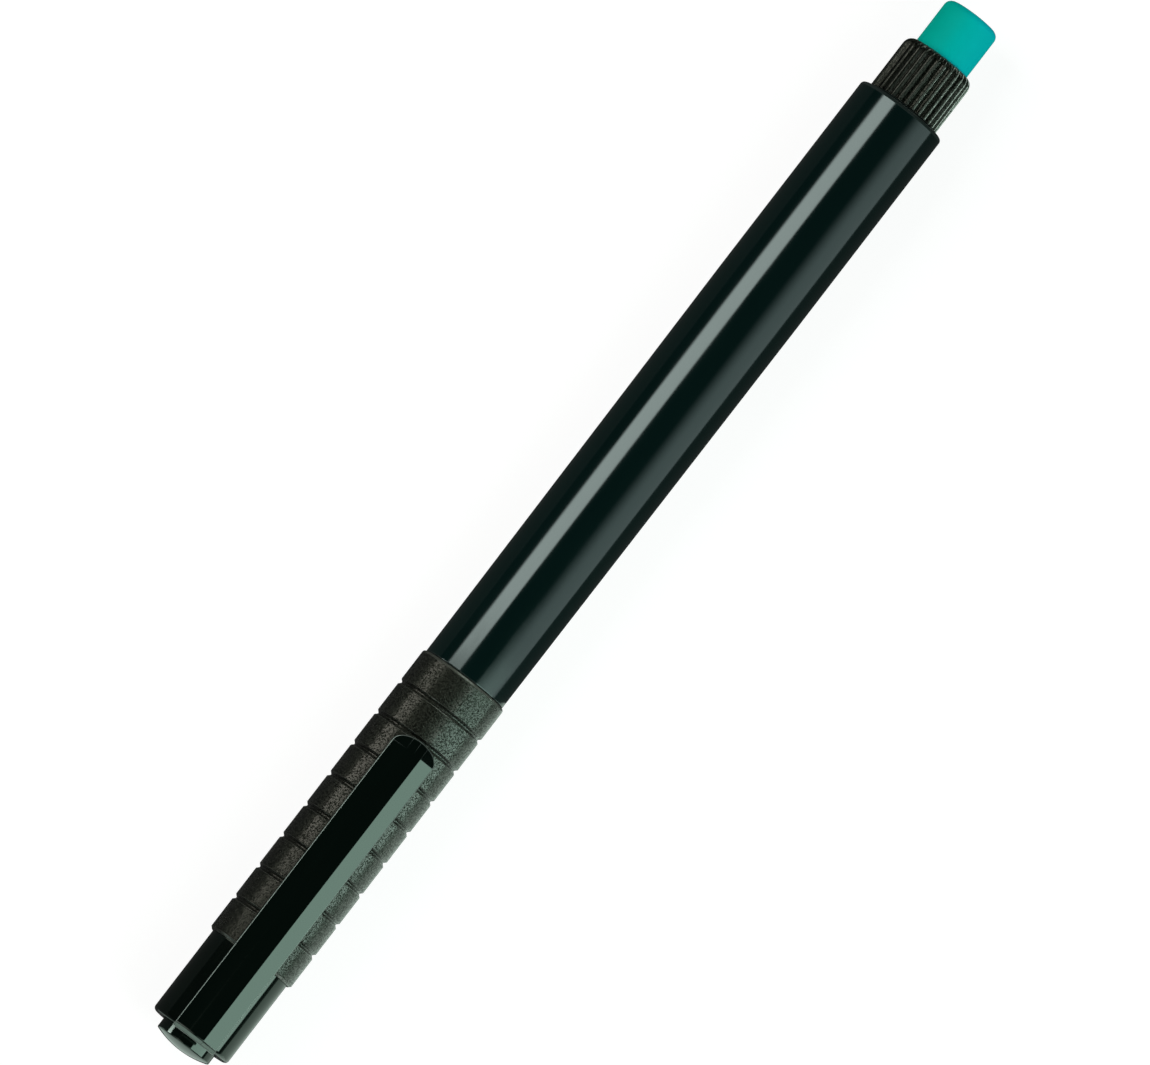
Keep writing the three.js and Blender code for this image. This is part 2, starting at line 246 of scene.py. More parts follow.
def rounded(corners, closed):
    """Points of an outline whose corners (x, radius, rounding) are turned into arcs."""
    points = []
    count = len(corners)
    for i, (x, r, rounding) in enumerate(corners):
        here = Vector((x, r))
        if rounding <= 0 or (not closed and i in (0, count - 1)):
            points.append(here)
            continue
        before = Vector(corners[i - 1][:2]) - here
        after = Vector(corners[(i + 1) % count][:2]) - here
        half_turn = (math.pi - before.angle(after)) / 2
        reach = min(rounding * math.tan(half_turn), before.length / 2, after.length / 2)
        size = reach / math.tan(half_turn)
        has_room = [side.length > 2 * (reach + SUPPORT) for side in (before, after)]
        before.normalize()
        after.normalize()
        middle = here + (before + after).normalized() * size / math.cos(half_turn)
        first = here + before * reach - middle
        last = here + after * reach - middle
        if has_room[0]:
            points.append(here + before * (reach + SUPPORT))
        for step in range(ARC_STEPS + 1):
            share = step / ARC_STEPS
            mixed = first.slerp(last, share) if first.angle(last) > TINY else first
            points.append(middle + mixed.normalized() * size)
        if has_room[1]:
            points.append(here + after * (reach + SUPPORT))
    return points


def spin(bm, points, closed, faces):
    """Adds an outline, turned about the x axis, to a bmesh."""
    rings = []
    for x, r in points:
        if r < TINY:
            rings.append([bm.verts.new((x, 0, 0))])
            continue
        angles = [2 * math.pi * (k + 0.5) / faces for k in range(faces)]
        rings.append([bm.verts.new((x, r * math.cos(a), r * math.sin(a))) for a in angles])
    pairs = list(zip(rings, rings[1:]))
    if closed:
        pairs.append((rings[-1], rings[0]))
    for one, two in pairs:
        for k in range(faces):
            corners = [one[k % len(one)], one[(k + 1) % len(one)]]
            corners += [two[(k + 1) % len(two)], two[k % len(two)]]
            corners = list(dict.fromkeys(corners))
            if len(corners) > 2:
                bm.faces.new(corners)


def mesh_of(name, bm):
    mesh = bpy.data.meshes.new(name)
    bm.to_mesh(mesh)
    bm.free()
    return mesh


def spun(name, corners, closed, faces=SKIN_FACES):
    bm = bmesh.new()
    spin(bm, rounded(corners, closed), closed, faces)
    bmesh.ops.recalc_face_normals(bm, faces=bm.faces)
    return mesh_of(name, bm)


into_frame = Matrix.Translation((pen_start / PER_METRE, 0, axis_height / PER_METRE))
into_frame = into_frame @ Matrix.Scale(1 / PER_METRE, 4)


def mark_edges(bm, least_turn, can_wear_and_highlight):
    """Sets edge where the skin turns out by least_turn degrees: for wear and a painted highlight.
    """
    layer = bm.verts.layers.float.new("edge")
    for vert in bm.verts:
        sharpest = max(e.calc_face_angle_signed(0.0) for e in vert.link_edges)
        wear_and_highlight = can_wear_and_highlight is None or can_wear_and_highlight(vert.co)
        vert[layer] = float(sharpest > math.radians(least_turn) and wear_and_highlight)


def settle(mesh, name, material, least_turn=EDGE_MARK_TURN, can_wear_and_highlight=None):
    """Turns a mesh in millimetres into a piece in the frame, with its faces outwards."""
    bm = bmesh.new()
    bm.from_mesh(mesh)
    bmesh.ops.remove_doubles(bm, verts=bm.verts, dist=TINY * 10)
    bmesh.ops.recalc_face_normals(bm, faces=bm.faces)
    mark_edges(bm, least_turn, can_wear_and_highlight)
    bmesh.ops.transform(bm, matrix=into_frame, verts=bm.verts)
    bm.to_mesh(mesh)
    bm.free()
    mesh.materials.clear()
    mesh.materials.append(material)
    mesh.shade_smooth()
    mesh.set_sharp_from_angle(angle=SHARP_ANGLE)
    print(f"{name}: {len(mesh.vertices)} points")
    return object_of(name, mesh)


def turned(name, corners, material, closed=True, least_turn=EDGE_MARK_TURN):
    """A turned piece. An outline that isn't closed starts and ends on the axis."""
    return settle(spun(name, corners, closed), name, material, least_turn)


def dress(piece, body, node):
    """The piece stands for a CAD node and rides on that node's body."""
    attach(piece, body)
    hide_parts(node)


print(SKIN_FACES, "faces round each turned skin")

# %% [markdown]
# ### Building blocks for the finishes
# Every finish starts from the place on the piece in millimetres, so that its grain has a
# real size. A fine grain, as left by a spark-eroded mould, and a broad, faint cloud, as
# left by handling, do most of the work. Both are noise.

# %% Finish helpers
class Finish(Net):
    """A material with a Principled shader, and the net that wires it."""

    def __init__(self, name, **constants):
        self.material = bpy.data.materials.new(name)
        self.material.use_nodes = True
        super().__init__(self.material.node_tree)
        self.shader = self.tree.nodes["Principled BSDF"].inputs
        for socket, value in constants.items():
            self.shader[socket.replace("_", " ")].default_value = value
        feeds = {0: self.node("ShaderNodeTexCoord", output="Object"), "Scale": PER_METRE}
        self.place_mm = self.node("ShaderNodeVectorMath", {"operation": "SCALE"}, feeds)

    def noise(self, per_mm, detail=2.0, roughness=0.5, stretch=None):
        """Noise with about per_mm blots to the millimetre. stretch scales x, and y with z."""
        place = self.place_mm
        if stretch:
            feeds = {0: place, 1: (stretch[0], stretch[1], stretch[1])}
            place = self.node("ShaderNodeVectorMath", {"operation": "MULTIPLY"}, feeds)
        feeds = {"Vector": place, "Scale": per_mm, "Detail": detail, "Roughness": roughness}
        return self.node("ShaderNodeTexNoise", None, feeds)

    def edge_share(self):
        """How sharp the edge is here, from the attribute that the skins carry."""
        return self.node("ShaderNodeAttribute", {"attribute_name": "edge"}, output="Fac")

    def colour(self, share, one, two):
        """A colour between two, where 6 and 7 are the Mix node's two colour sockets."""
        first = one if isinstance(one, Wire) else (*one, 1.0)
        feeds = {0: share, 6: first, 7: (*two, 1.0)}
        return self.node("ShaderNodeMix", {"data_type": "RGBA"}, feeds, 2)

    def surface(self, colour, roughness, height, depth_mm):
        """Feeds the shader a colour, a roughness and a bump. Gives the material."""
        feeds = {"Height": height, "Distance": depth_mm / PER_METRE, "Strength": 1.0}
        self.feed(self.shader["Base Color"], colour)
        self.feed(self.shader["Roughness"], roughness)
        self.feed(self.shader["Normal"], self.node("ShaderNodeBump", None, feeds))
        return self.material


print("finish helpers ready")

# %% [markdown]
# ### Gloss black plastic
# The barrel and the cap's hard parts come out of polished moulds. Such black is a dark
# mirror: what is seen of it is the reflection of the lamps. So its detail is in how the
# gloss varies: faint haze where fingers go, and hairline marks that run along the pen.
# Its sharp edges are painted lighter, partly as wear and partly as a painted highlight.

# %% Gloss finishes
MARK_LEVEL = 0.62
MARK_CONTRAST = 6.0
RIPPLE_DEPTH = 0.0012
# Colour of sharp edges: partly wear, partly a painted highlight along the edge.
EDGE_WEAR_AND_HIGHLIGHT_GLOSS = (0.4, 0.45, 0.42)


def gloss_black(name, base, lighter, tint, roughness, haze, edge_wear_and_highlight):
    """Nearly black, with roughness at its glossiest and haze added where it is dullest."""
    finish = Finish(name, Specular_IOR_Level=0.75, Specular_Tint=(*tint, 1.0))
    cloud = finish.noise(0.45, 3.0, stretch=(0.35, 1.0))
    lines = finish.noise(1.0, stretch=(0.6, 14.0))
    marks = ((lines - MARK_LEVEL) * MARK_CONTRAST).clamped() * (cloud * 1.6 - 0.5).clamped()
    # Sharp edges turn lighter: partly wear, partly a painted highlight.
    wear_and_highlight = finish.edge_share() * (finish.noise(1.2) * 0.8 + 0.6) * edge_wear_and_highlight
    colour = finish.colour(marks * 0.5 + cloud * 0.3, base, lighter)
    colour = finish.colour(wear_and_highlight.clamped(), colour, EDGE_WEAR_AND_HIGHLIGHT_GLOSS)
    dulled = cloud * haze + marks * 0.05 + wear_and_highlight * 0.2 + roughness
    ripple = finish.noise(0.9, 1.0, stretch=(0.5, 1.0))
    return finish.surface(colour, dulled, ripple, RIPPLE_DEPTH)


barrel_gloss = gloss_black(
    "barrel_gloss", (0.0004, 0.0082, 0.0074), (0.002, 0.0125, 0.0115),
    tint=(0.86, 1.0, 0.975), roughness=0.08, haze=0.07, edge_wear_and_highlight=0.05,
)
# The cap's edges are painted much lighter than the barrel's: partly wear, partly a painted
# highlight.
cap_gloss = gloss_black(
    "cap_gloss", (0.0004, 0.003, 0.002), (0.002, 0.006, 0.004),
    tint=(0.82, 1.0, 0.9), roughness=0.05, haze=0.05, edge_wear_and_highlight=0.26,
)
print("gloss finishes:", barrel_gloss.name, cap_gloss.name)

# %% [markdown]
# ### Matt grained plastic
# The grip bands and the fluted ring come out of a spark-eroded mould, which leaves pits a
# fifth of a millimetre across. They sparkle faintly, because each pit's rim catches a lamp.
# A bump of two noises makes the pits. For the sparkle, specks of the same size are lighter
# and have a thin coat, the shader's second and glossier layer. Their sharp edges are
# painted lighter, partly as wear and partly as a painted highlight.

# %% Matt finishes
PITS_PER_MM = 5.0
DUST_PER_MM = 10.0
SPECKS_PER_MM = 5.4
SPECK_CONTRAST = 7.0
GRAIN_TINT = (0.85, 1.0, 0.84, 1.0)
# Colour of band and rib edges: partly wear, partly a painted highlight along the edge.
EDGE_WEAR_AND_HIGHLIGHT_GRAIN = (0.11, 0.115, 0.105)


def grained_black(name, base, lighter, roughness, depth_mm):
    """Black with pits of the given depth. lighter is the colour of its specks."""
    constants = {"Specular_IOR_Level": 0.48, "Specular_Tint": GRAIN_TINT, "Coat_Roughness": 0.2}
    finish = Finish(name, **constants)
    pits = finish.noise(PITS_PER_MM, 1.0, 0.6)
    dust = finish.noise(DUST_PER_MM, 1.0)
    cloud = finish.noise(0.35, 3.0)
    specks = ((finish.noise(SPECKS_PER_MM, 1.0) - 0.5) * SPECK_CONTRAST + 0.5).clamped()
    finish.feed(finish.shader["Coat Weight"], specks)
    tone = (specks + pits * 0.2 + cloud * 0.2 - 0.2).clamped()
    # Sharp edges turn lighter: partly wear, partly a painted highlight.
    wear_and_highlight = finish.edge_share() * (dust * 0.6 + 0.2)
    colour = finish.colour(wear_and_highlight, finish.colour(tone, base, lighter), EDGE_WEAR_AND_HIGHLIGHT_GRAIN)
    dulled = cloud * 0.05 + pits * 0.05 + roughness
    return finish.surface(colour, dulled, pits * 0.7 + dust * 0.3, depth_mm)


grip_black, grip_speck = (0.0015, 0.0016, 0.0012), (0.026, 0.0275, 0.022)
ring_black, ring_speck = (0.0015, 0.002, 0.0015), (0.014, 0.0175, 0.013)
grip_matt = grained_black("grip_matt", grip_black, grip_speck, roughness=0.21, depth_mm=0.065)
ring_matt = grained_black("ring_matt", ring_black, ring_speck, roughness=0.17, depth_mm=0.03)
print("matt finishes:", grip_matt.name, ring_matt.name)

# %% [markdown]
# ### Teal eraser rubber
# The eraser is smooth matt rubber, dyed through. The dye isn't quite even and the surface
# is a little dusty, so the colour wanders and a very fine grain breaks the shine.

# %% Eraser finish
ERASER_GRAIN = 0.01


def eraser_rubber():
    finish = Finish("eraser_rubber", Specular_IOR_Level=0.02)
    cloud = finish.noise(0.5, 4.0, 0.6)
    crumbs = finish.noise(9.0)
    tone = (cloud * 0.8 + crumbs * 0.2).clamped()
    colour = finish.colour(tone, (0.0, 0.33, 0.265), (0.0, 0.38, 0.318))
    return finish.surface(colour, crumbs * 0.12 + 0.5, crumbs * 0.5 + cloud, ERASER_GRAIN)


eraser_teal = eraser_rubber()
print("eraser finish:", eraser_teal.name)

# %% [markdown]
# ### Finishes of the hidden pieces
# These show only when the cap is off or the pen is in pieces: the waxy white seal inside
# the cap, the satin nib holder, the ink-soaked fibre of the nib and the reservoir, and the
# clear film round it. Fibres run along the pen, so their noise is stretched along x.

# %% Hidden finishes
SATIN_GRAIN = 0.006
STRAND_DEPTH = 0.03


def satin(name, base, lighter, roughness):
    finish = Finish(name, IOR=1.5)
    cloud = finish.noise(0.6, 3.0)
    grain = finish.noise(6.0)
    colour = finish.colour(cloud, base, lighter)
    return finish.surface(colour, grain * 0.1 + roughness, grain, SATIN_GRAIN)


def fibre(name, base, lighter, per_mm):
    finish = Finish(name, IOR=1.4, Specular_IOR_Level=0.2)
    strands = finish.noise(per_mm, 3.0, 0.7, stretch=(0.05, 1.0))
    tone = (strands * 0.8 + finish.noise(0.5) * 0.4 - 0.1).clamped()
    colour = finish.colour(tone, base, lighter)
    return finish.surface(colour, 0.95 - strands * 0.15, strands, STRAND_DEPTH)


seal_white = satin("seal_white", (0.66, 0.66, 0.62), (0.78, 0.78, 0.75), 0.4)
holder_satin = satin("holder_satin", (0.022, 0.024, 0.028), (0.04, 0.043, 0.048), 0.35)
nib_fibre = fibre("nib_fibre", (0.03, 0.07, 0.3), (0.1, 0.17, 0.5), 7.0)
reservoir_fibre = fibre("reservoir_fibre", (0.62, 0.6, 0.55), (0.8, 0.78, 0.73), 9.0)
film_clear = satin("film_clear", (0.75, 0.77, 0.78), (0.85, 0.86, 0.87), 0.15)
print("hidden finishes ready")

# %% [markdown]
# ### The domed end plug
# A short round plug closes the cap. Its end is a shallow dome, an arc of a large circle from
# the axis to the edge. Behind its head it is hollow, as moulded plugs are.

# %% End plug
PLUG_DOME = 0.62
PLUG_DEPTH = 7.0
PLUG_WALL = 0.8
PLUG_HEAD = 1.6
DOME_STEPS = 12
# The polished end pieces get wear and a painted edge highlight only at edges that turn by more
# degrees than this.
HARD_TURN = 30


def dome_points(radius, rise, steps):
    """Corners of a shallow dome from the axis to its edge."""
    curve = (radius ** 2 + rise ** 2) / (2 * rise)
    widest = math.asin(radius / curve)
    angles = [widest * k / steps for k in range(steps)]
    return [(curve - curve * math.cos(a), curve * math.sin(a), 0) for a in angles]


skirt_bore = plug_radius - PLUG_WALL
skirt_end = collar_start + PLUG_DEPTH
plug_corners = dome_points(plug_radius, PLUG_DOME, DOME_STEPS) + [
    (PLUG_DOME, plug_radius, 0.18),
    (skirt_end, plug_radius, 0.1),
    (skirt_end, skirt_bore, 0.1),
    (PLUG_DOME + PLUG_HEAD, skirt_bore, 0.1),
    (PLUG_DOME + PLUG_HEAD, 0, 0),
]
end_plug = turned("end_plug_skin", plug_corners, cap_gloss, False, HARD_TURN)
dress(end_plug, "cap", "end_plug")

# %% [markdown]
# ### The collar
# A turned tube with a flat land along its top, where the clip's foot stands. A Boolean
# modifier cuts the land. The edges of the cut can stay sharp, as the clip's foot hides them.

# %% Collar
COLLAR_LENGTH = 10.95
SPIGOT_LENGTH = 5.0
PLUG_LEDGE = 0.7
FOOT_HALF_WIDTH = 2.3
# How far a cutting tool reaches past what it cuts
TOOL_MARGIN = 1
land_height = math.sqrt(collar_radius ** 2 - FOOT_HALF_WIDTH ** 2)
plug_bore = plug_radius + SLIP_GAP
spigot_radius = cap_bore - SLIP_GAP
spigot_end = COLLAR_LENGTH + SPIGOT_LENGTH
ledge_bore = plug_bore - PLUG_LEDGE


def loft(name, sections):
    """A solid through closed sections with the same number of points."""
    bm = bmesh.new()
    rings = [[bm.verts.new(point) for point in section] for section in sections]
    count = len(rings[0])
    for one, two in zip(rings, rings[1:]):
        for k in range(count):
            after = (k + 1) % count
            bm.faces.new([one[k], one[after], two[after], two[k]])
    bm.faces.new(rings[0])
    bm.faces.new(rings[-1])
    bmesh.ops.recalc_face_normals(bm, faces=bm.faces)
    return object_of(name, mesh_of(name, bm))


def prism(name, outline, half_width):
    """A side view pushed across the pen, as far to both sides of its middle."""
    return loft(name, [[(x, y, z) for x, z in outline] for y in (-half_width, half_width)])


def block(name, run, low, high, half_width):
    """A box over a run of the pen, between two heights."""
    outline = [(run[0], low), (run[1], low), (run[1], high), (run[0], high)]
    return prism(name, outline, half_width)


def evaluated_mesh(target):
    """The plain mesh that the modifiers of target make."""
    bpy.context.view_layer.update()
    seen = target.evaluated_get(bpy.context.evaluated_depsgraph_get())
    return bpy.data.meshes.new_from_object(seen)


def taken_from(target):
    """The same mesh, once target is no longer needed."""
    result = evaluated_mesh(target)
    bpy.data.objects.remove(target)
    return result


def carve(target, tool, operation):
    """Joins or cuts with an exact Boolean, then removes the tool."""
    step = target.modifiers.new(operation, "BOOLEAN")
    step.operation = operation
    step.solver = "EXACT"
    step.object = tool
    result = evaluated_mesh(target)
    target.modifiers.clear()
    target.data = result
    bpy.data.objects.remove(tool)


collar_corners = [
    (0, plug_bore, 0.12),
    (0, collar_radius, 0.5),
    (COLLAR_LENGTH, collar_radius, 0.05),
    (COLLAR_LENGTH, spigot_radius, 0),
    (spigot_end, spigot_radius, 0.15),
    (spigot_end, ledge_bore, 0.05),
    (PLUG_DEPTH, ledge_bore, 0.05),
    (PLUG_DEPTH, plug_bore, 0),
]
collar_corners = [(x + collar_start, r, c) for x, r, c in collar_corners]
collar_solid = object_of("collar_solid", spun("collar_solid", collar_corners, True))
land_run = (collar_start - TOOL_MARGIN, collar_start + COLLAR_LENGTH)
land_tool = block("land_tool", land_run, land_height, collar_radius + TOOL_MARGIN, collar_radius)
carve(collar_solid, land_tool, "DIFFERENCE")
collar = settle(taken_from(collar_solid), "clip_collar_skin", cap_gloss, HARD_TURN)
dress(collar, "cap", "clip_collar")

# %% [markdown]
# ### The clip
# The clip shows most. It is a long bar with a flat underside, upright sides, a wide sloping
# facet at each side and two shallow ones that meet in a faint ridge. Over its nose the whole
# top tips down. It is lofted from four sections, because that keeps every facet flat.

# %% Clip arm
CLIP_HALF_WIDTH = 2.8
CLIP_LENGTH = 41.4
CLIP_GAP = 0.9
CLIP_SIDE = 0.68
RIDGE_HALF = 0.98
RIDGE_SLOPE = math.radians(5)
FACET_SLOPE = math.radians(23)
END_BEVEL = 0.5
NOSE_LENGTH = 1.6
NOSE_DROP = 0.5
underside = band_radius + CLIP_GAP
inside_arm = underside + CLIP_SIDE / 2
clip_start = start_of("clip")
nose_start = clip_start + CLIP_LENGTH - NOSE_LENGTH


def clip_section(x, drop):
    """Points across the clip at one place, with its top lowered by drop."""
    edge = underside + CLIP_SIDE - drop
    ridge = edge + (CLIP_HALF_WIDTH - RIDGE_HALF) * math.tan(FACET_SLOPE)
    top = ridge + RIDGE_HALF * math.tan(RIDGE_SLOPE)
    half = [(CLIP_HALF_WIDTH, underside), (CLIP_HALF_WIDTH, edge), (RIDGE_HALF, ridge)]
    other_half = [(-y, z) for y, z in reversed(half)]
    return [(x, y, z) for y, z in half + [(0, top)] + other_half]


drops = [(0, END_BEVEL), (END_BEVEL, 0), (CLIP_LENGTH - NOSE_LENGTH, 0), (CLIP_LENGTH, NOSE_DROP)]
clip_solid = loft("clip_arm", [clip_section(clip_start + x, drop) for x, drop in drops])
print(f"clip arm {CLIP_LENGTH} mm long, {2 * CLIP_HALF_WIDTH} mm wide")

# %% [markdown]
# ### The clip's nose, foot and nub
# Seen from above, the nose is half an ellipse. The foot carries the clip on the collar, and
# the nub grips the cloth. Each is a pushed outline that a Boolean cuts with or joins on.

# %% Nose, foot and nub
NOSE_STEPS = 48
ARM_HEIGHT_LIMIT = 4
FOOT_LENGTH = 10.6
NUB_GAP = 0.3
NUB_WIDTH = 2.8
NUB_CHORD = 3.6
NUB_INSET = 4.2
NUB_STEPS = 12


def nose_plan():
    """The clip in plan, a little wider than the clip where its sides are straight."""
    wide = CLIP_HALF_WIDTH + TOOL_MARGIN
    points = [(clip_start - TOOL_MARGIN, -wide), (nose_start, -wide)]
    for k in range(NOSE_STEPS + 1):
        angle = (k / NOSE_STEPS - 0.5) * math.pi
        along = nose_start + NOSE_LENGTH * math.cos(angle)
        points.append((along, CLIP_HALF_WIDTH * math.sin(angle)))
    return points + [(nose_start, wide), (clip_start - TOOL_MARGIN, wide)]


def nub_outline():
    """Side view of the nub: an arc below, and straight where it joins the arm."""
    depth = CLIP_GAP - NUB_GAP
    curve = (NUB_CHORD ** 2 / 4 + depth ** 2) / (2 * depth)
    reach = math.asin(NUB_CHORD / 2 / curve)
    middle = clip_start + CLIP_LENGTH - NUB_INSET
    points = []
    for k in range(NUB_STEPS + 1):
        angle = (2 * k / NUB_STEPS - 1) * reach
        height = band_radius + NUB_GAP + curve - curve * math.cos(angle)
        points.append((middle + curve * math.sin(angle), height))
    return points + [(middle + NUB_CHORD / 2, inside_arm), (middle - NUB_CHORD / 2, inside_arm)]


plan_heights = (band_radius, underside + ARM_HEIGHT_LIMIT)
plan_tool = loft("plan_tool", [[(x, y, z) for x, y in nose_plan()] for z in plan_heights])
carve(clip_solid, plan_tool, "INTERSECT")
foot_run = (collar_start, collar_start + FOOT_LENGTH)
foot_tool = block("foot_tool", foot_run, land_height, inside_arm, FOOT_HALF_WIDTH)
carve(clip_solid, foot_tool, "UNION")
nub_tool = prism("nub_tool", nub_outline(), NUB_WIDTH / 2)
carve(clip_solid, nub_tool, "UNION")
print("clip carved:", len(clip_solid.data.polygons), "faces")

# %% [markdown]
# ### The clip's edges
# A moulded edge has a small round that catches the light, and a Bevel modifier gives the
# clip that hairline. Its outline edges are also painted lighter, partly as wear and partly
# as a painted highlight. A narrow border keeps each flat facet flat under smooth shading.

# %% Clip edges
CLIP_ROUND = 0.15
BEVEL_SEGMENTS = 3
BEVELLED_TURN = math.radians(30)
FLAT_BORDER = 0.03
LEAST_FLAT = 0.3
FLAT_WELD = 0.002
OUTLINE_SHARE = 0.93


def softened(target):
    """The mesh of target with its edges rounded by a Bevel modifier."""
    bevel = target.modifiers.new("round", "BEVEL")
    bevel.width = CLIP_ROUND
    bevel.segments = BEVEL_SEGMENTS
    bevel.limit_method = "ANGLE"
    bevel.angle_limit = BEVELLED_TURN
    bevel.use_clamp_overlap = True
    return taken_from(target)


def frame_flats(mesh):
    """Rings each wide flat face with a narrow border, so that smooth shading leaves it flat."""
    bm = bmesh.new()
    bm.from_mesh(mesh)
    bmesh.ops.remove_doubles(bm, verts=bm.verts, dist=FLAT_WELD)
    wide = [f for f in bm.faces if 2 * f.calc_area() > LEAST_FLAT * f.calc_perimeter()]
    bmesh.ops.inset_individual(bm, faces=wide, thickness=FLAT_BORDER, use_even_offset=True)
    bm.to_mesh(mesh)
    bm.free()


def near_outline(place):
    """Whether a place on the clip is near its outline in plan, where wear and a painted highlight
    go.
    """
    along = max(place.x - nose_start, 0) / NOSE_LENGTH
    return math.hypot(along, place.y / CLIP_HALF_WIDTH) > OUTLINE_SHARE


clip_mesh = softened(clip_solid)
frame_flats(clip_mesh)
# The clip's outline edges are painted lighter: partly wear, partly a painted highlight.
clip = settle(clip_mesh, "clip_skin", cap_gloss, can_wear_and_highlight=near_outline)
dress(clip, "clip_arm", "clip")

# %% [markdown]
# ### Trees with named inputs
# Geometry Nodes make the grip bands and the flutes. Each tree takes a mesh, named sizes and
# a material. A modifier's inputs are set by their identifiers before it first runs, and its
# result becomes a plain mesh.

# %% Tree helpers
NUMBER = "NodeSocketFloat"
WHOLE_NUMBER = "NodeSocketInt"


def new_tree(name, sizes):
    """A geometry tree with its named sizes between Geometry and Material, and their wires."""
    tree = bpy.data.node_groups.new(name, "GeometryNodeTree")
    kinds = {"Geometry": "NodeSocketGeometry", **sizes, "Material": "NodeSocketMaterial"}
    for socket, kind in kinds.items():
        tree.interface.new_socket(socket, in_out="INPUT", socket_type=kind)
    tree.interface.new_socket("Geometry", in_out="OUTPUT", socket_type="NodeSocketGeometry")
    net = Net(tree)
    return net, net.node("NodeGroupInput", output=range(len(kinds)))


def end_tree(net, shape, material):
    """Gives the shape its material and hands it out of the tree."""
    done = net.node("GeometryNodeSetMaterial", None, {"Geometry": shape, "Material": material})
    net.node("NodeGroupOutput", None, {0: done}, [])
    return net.tree


def run_tree(target, tree, values):
    """The mesh that a tree makes of target. Its inputs are set by their identifiers."""
    step = target.modifiers.new(tree.name, "NODES")
    step.node_group = tree
    named = {s.name: s.identifier for s in tree.interface.items_tree if s.in_out == "INPUT"}
    for name, value in values.items():
        step[named[name]] = value
    return taken_from(target)


print("tree helpers ready")

# %% [markdown]
# ### The grip bands
# Nine bands with V grooves between them ring the cap shell. What repeats is made once: the
# mesh holds one band from groove to groove, and a Geometry Nodes tree sets copies of it
# along the pen, realizes them and welds their seams. An Array modifier could do the same,
# but the tree has named sizes. The two ends, the lip and the bore are one more outline.

# %% Cap shell with its bands
BAND_PITCH = 4.3
BAND_COUNT = 9
END_BAND_EXTRA = 0.12
GROOVE_DEPTH = 0.28
GROOVE_FLOOR = 0.14
FLOOR_ROUND = 0.03
BAND_EDGE = 0.07
LIP_ROUND = 0.32
SEAM_WELD = 0.001
groove_bottom = band_radius - GROOVE_DEPTH
groove_mouth = GROOVE_FLOOR / 2 + GROOVE_DEPTH


def band_outline(first):
    """One band, from the middle of one groove to the middle of the next."""
    last = first + BAND_PITCH
    return [
        (first, groove_bottom, 0),
        (first + GROOVE_FLOOR / 2, groove_bottom, FLOOR_ROUND),
        (first + groove_mouth, band_radius, BAND_EDGE),
        (last - groove_mouth, band_radius, BAND_EDGE),
        (last - GROOVE_FLOOR / 2, groove_bottom, FLOOR_ROUND),
        (last, groove_bottom, 0),
    ]


def repeat_tree():
    """A tree that sets copies of the modifier's own mesh in a row and welds them."""
    net, given = new_tree("repeat_along_pen", {"Count": WHOLE_NUMBER, "Pitch": NUMBER})
    unit, count, pitch, material = given
    offset = net.node("ShaderNodeCombineXYZ", None, {"X": pitch})
    row = net.node("GeometryNodeMeshLine", None, {"Count": count, "Offset": offset})
    copies = net.node("GeometryNodeInstanceOnPoints", None, {"Points": row, "Instance": unit})
    real = net.node("GeometryNodeRealizeInstances", None, {0: copies})
    feeds = {"Geometry": real, "Distance": SEAM_WELD}
    return end_tree(net, net.node("GeometryNodeMergeByDistance", None, feeds), material)


inner_bands = BAND_COUNT - 2
row_start = shell_start + END_BAND_EXTRA + BAND_PITCH
row_end = row_start + inner_bands * BAND_PITCH
one_band = object_of("one_band", spun("one_band", band_outline(row_start), False))
band_values = {"Count": inner_bands, "Pitch": BAND_PITCH, "Material": grip_matt}
band_row = run_tree(one_band, repeat_tree(), band_values)

shell_corners = band_outline(row_end)[:3] + [
    (shell_end, band_radius, LIP_ROUND),
    (shell_end, cap_bore, 0.12),
    (shell_start, cap_bore, 0.05),
    (shell_start, groove_bottom, FLOOR_ROUND),
    (shell_start + GROOVE_DEPTH, band_radius, BAND_EDGE),
] + band_outline(row_start - BAND_PITCH)[3:]
shell_bm = bmesh.new()
spin(shell_bm, rounded(shell_corners, False), False, SKIN_FACES)
shell_bm.from_mesh(band_row)
cap_shell = settle(mesh_of("cap_shell_skin", shell_bm), "cap_shell_skin", grip_matt)
dress(cap_shell, "cap", "cap_shell")

# %% [markdown]
# ### The cup inside the cap
# A thin white cup seals round the nib holder so that the ink doesn't dry. It shows only
# when someone looks into the cap.

# %% Inner cap
inner_start = start_of("inner_cap")
inner_end = end_of("inner_cap")
INNER_BORE = 3.2
INNER_WALL = 0.7
INNER_FLOOR = 0.8
inner_radius = INNER_BORE + INNER_WALL
inner_floor = inner_start + INNER_FLOOR
inner_corners = [
    (inner_start, 0, 0),
    (inner_start, spigot_radius, 0.1),
    (inner_floor, spigot_radius, 0.1),
    (inner_floor, inner_radius, 0.1),
    (inner_end, inner_radius, 0.2),
    (inner_end, INNER_BORE, 0.2),
    (inner_floor, INNER_BORE, 0.2),
    (inner_floor, 0, 0),
]
inner_cap = turned("inner_cap_skin", inner_corners, seal_white, closed=False)
dress(inner_cap, "cap", "inner_cap")

# %% [markdown]
# ### The barrel
# A long tube that swells slightly towards the eraser, with a rounded rear corner and a low
# flat rim. Its neck is thinner and goes into the cap, with a low ring that grips it.

# %% Barrel
BARREL_FRONT_RADIUS = 5.28
